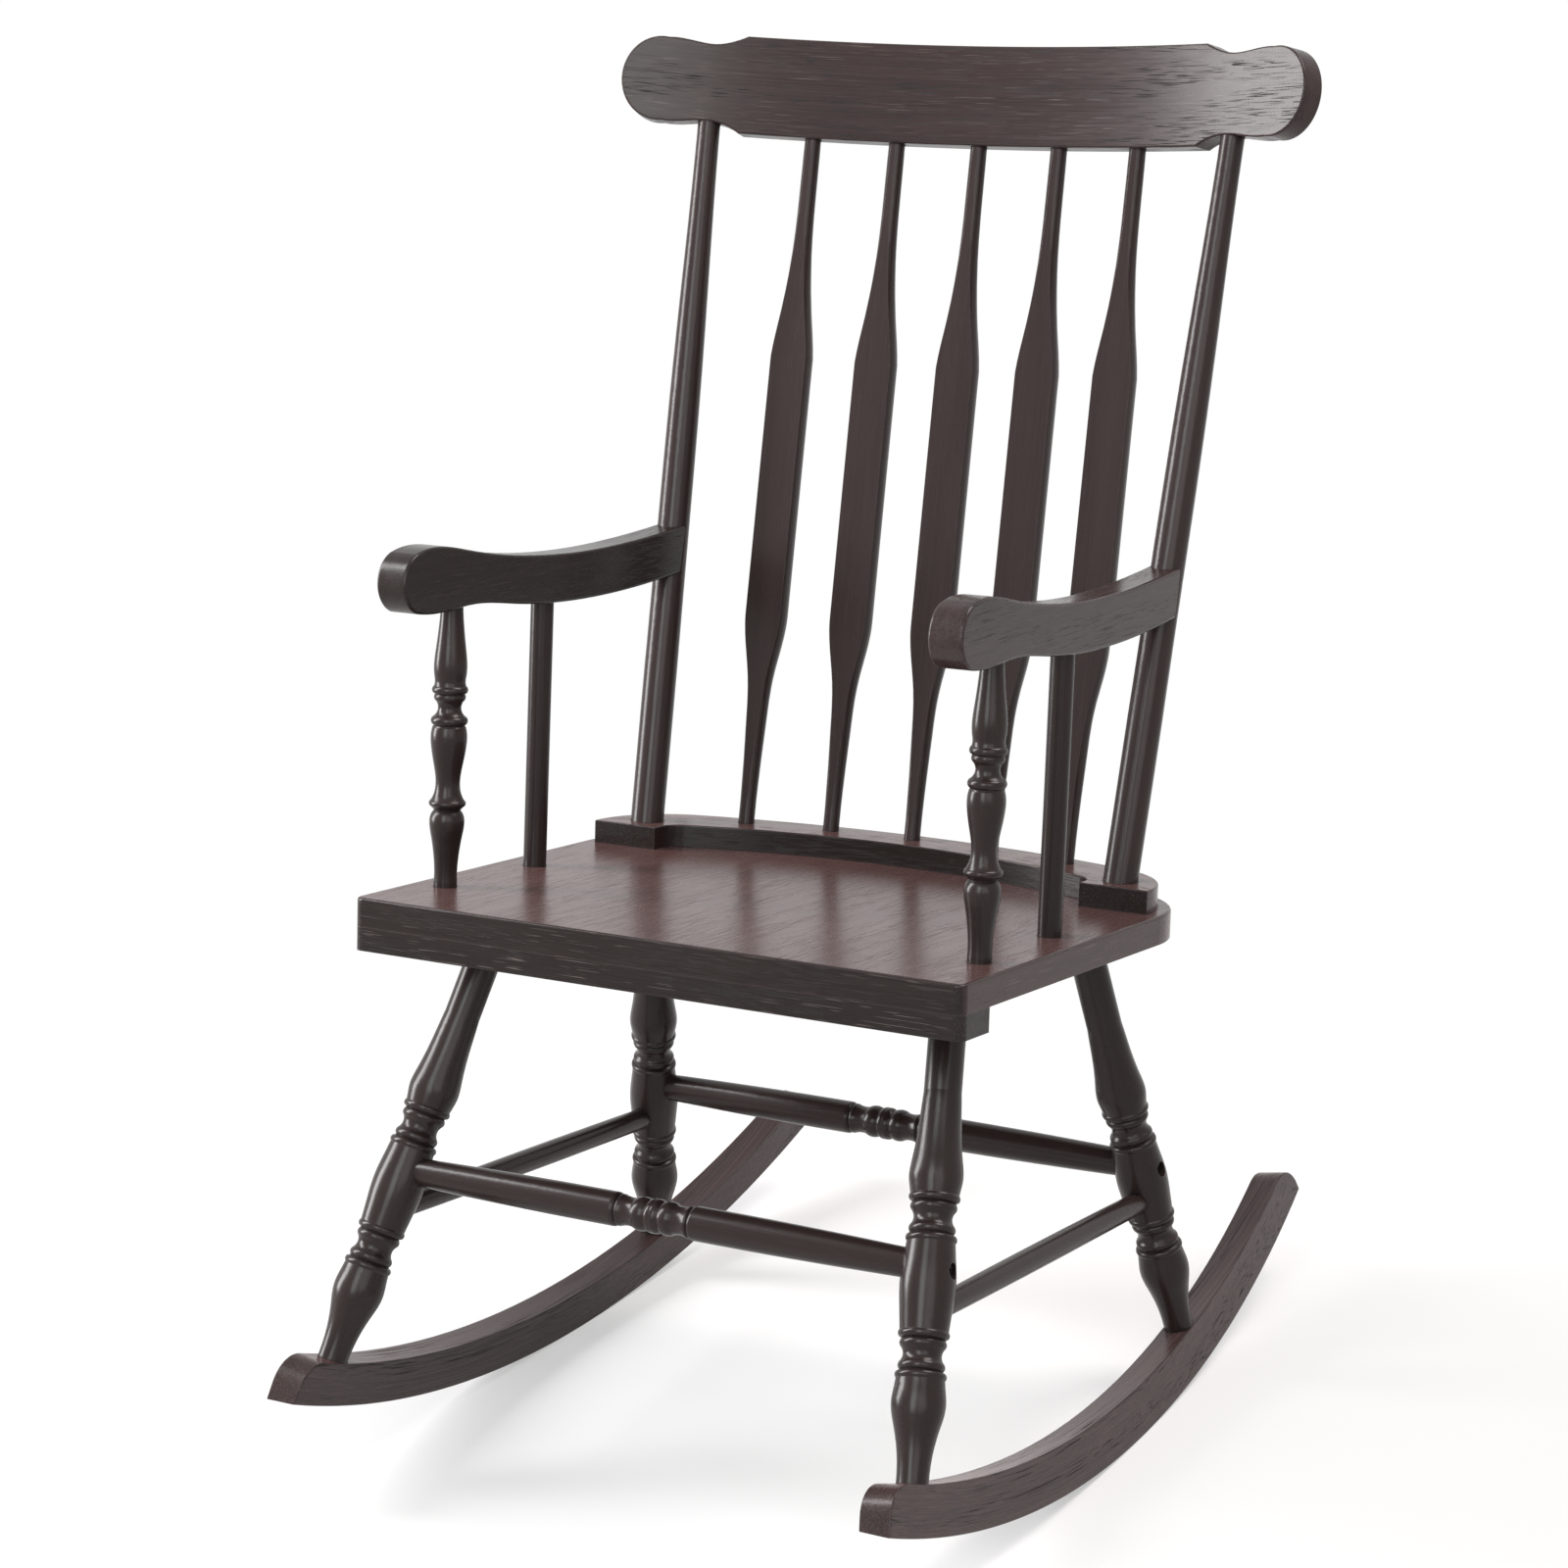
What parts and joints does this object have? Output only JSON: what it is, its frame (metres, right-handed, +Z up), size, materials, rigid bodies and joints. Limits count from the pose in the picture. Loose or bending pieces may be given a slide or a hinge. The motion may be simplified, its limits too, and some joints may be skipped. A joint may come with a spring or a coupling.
{
  "type": "boston rocking chair",
  "caption": "Wooden rocking chair with a plank seat, arrow spindles under a bent crest rail, shaped arms, turned legs and curved rockers.",
  "frame": {"origin": "on the floor under the middle of the bounding box: on the chair's middle plane, halfway between the rockers' front and rear tips", "axes": "+Z up, +Y towards the back of the chair, +X to the sitter's left; the chair stands at its own resting lean"},
  "size_m": [0.6416, 0.7764, 1.0687],
  "materials": {
    "dark_wood": "near-black brown stain under satin lacquer",
    "dark_steel": "black oxide"
  },
  "bodies": {
    "root": {"arm_left": "dark_wood", "arm_right": "dark_wood", "arm_screws": "dark_steel", "arm_spindle_left": "dark_wood", "arm_spindle_right": "dark_wood", "arm_support_left": "dark_wood", "arm_support_right": "dark_wood", "arrow_spindle_1": "dark_wood", "arrow_spindle_2": "dark_wood", "arrow_spindle_3": "dark_wood", "arrow_spindle_4": "dark_wood", "arrow_spindle_5": "dark_wood", "back_post_left": "dark_wood", "back_post_right": "dark_wood", "back_rail": "dark_wood", "crest_rail": "dark_wood", "leg_front_left": "dark_wood", "leg_front_right": "dark_wood", "leg_rear_left": "dark_wood", "leg_rear_right": "dark_wood", "rail_screws": "dark_steel", "rocker_left": "dark_wood", "rocker_right": "dark_wood", "rocker_screws": "dark_steel", "seat": "dark_wood", "seat_front_batten": "dark_wood", "stretcher_bolts": "dark_steel", "stretcher_front": "dark_wood", "stretcher_inserts": "dark_steel", "stretcher_rear": "dark_wood", "stretcher_side_left": "dark_wood", "stretcher_side_right": "dark_wood"}
  },
  "joints": []
}
